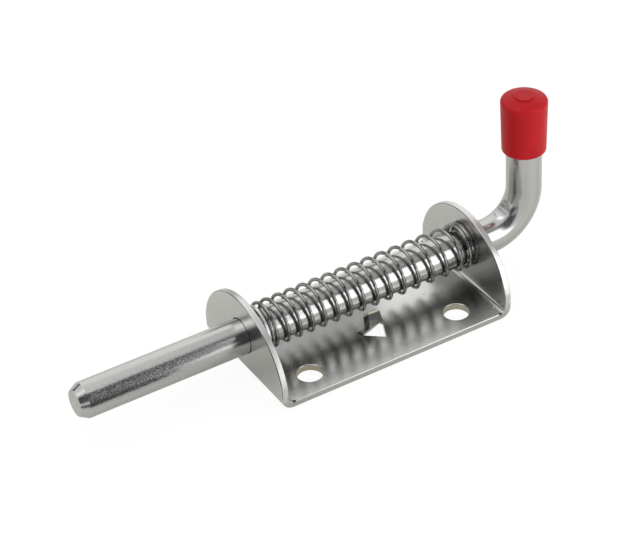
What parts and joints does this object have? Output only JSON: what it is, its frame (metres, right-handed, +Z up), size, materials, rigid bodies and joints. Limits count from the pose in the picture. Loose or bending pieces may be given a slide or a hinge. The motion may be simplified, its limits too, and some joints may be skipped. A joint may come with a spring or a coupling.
{
  "type": "spring bolt",
  "caption": "Spring-loaded sliding bolt: a round rod bent into a capped handle, held in a folded sheet bracket and pushed forward by a coil spring.",
  "frame": {"origin": "centre of the plate's underside, under the middle of the bracket", "axes": "+X along the rod from its tip to the handle, +Y across the plate, +Z up from the mounting face"},
  "size_m": [0.236, 0.066, 0.0861],
  "materials": {
    "zinc_sheet": "bright zinc plating on sheet steel, semi-gloss",
    "zinc_rod": "bright zinc plating on drawn rod, fine lengthwise lines",
    "spring_steel": "polished spring wire",
    "red_plastic": "soft moulded plastic, satin"
  },
  "bodies": {
    "base": {"base_bracket": "zinc_sheet", "compression_spring": "spring_steel"},
    "washer": {"thrust_washer": "zinc_sheet"},
    "bolt": {"bolt_rod": "zinc_rod", "stop_pin": "spring_steel", "handle_cap": "red_plastic"}
  },
  "joints": [
    {"name": "bolt_slide", "type": "slide", "parent": "base", "child": "washer", "axis": [1, 0, 0], "range_m": [0, 0.06], "stiffness_N_per_m": 520, "springref_m": -0.035, "deforming": ["compression_spring"]},
    {"name": "bolt_turn", "type": "hinge", "parent": "washer", "child": "bolt", "pos_m": [0, 0, 0.0192], "axis": [1, 0, 0], "range_deg": [-90, 90]}
  ]
}
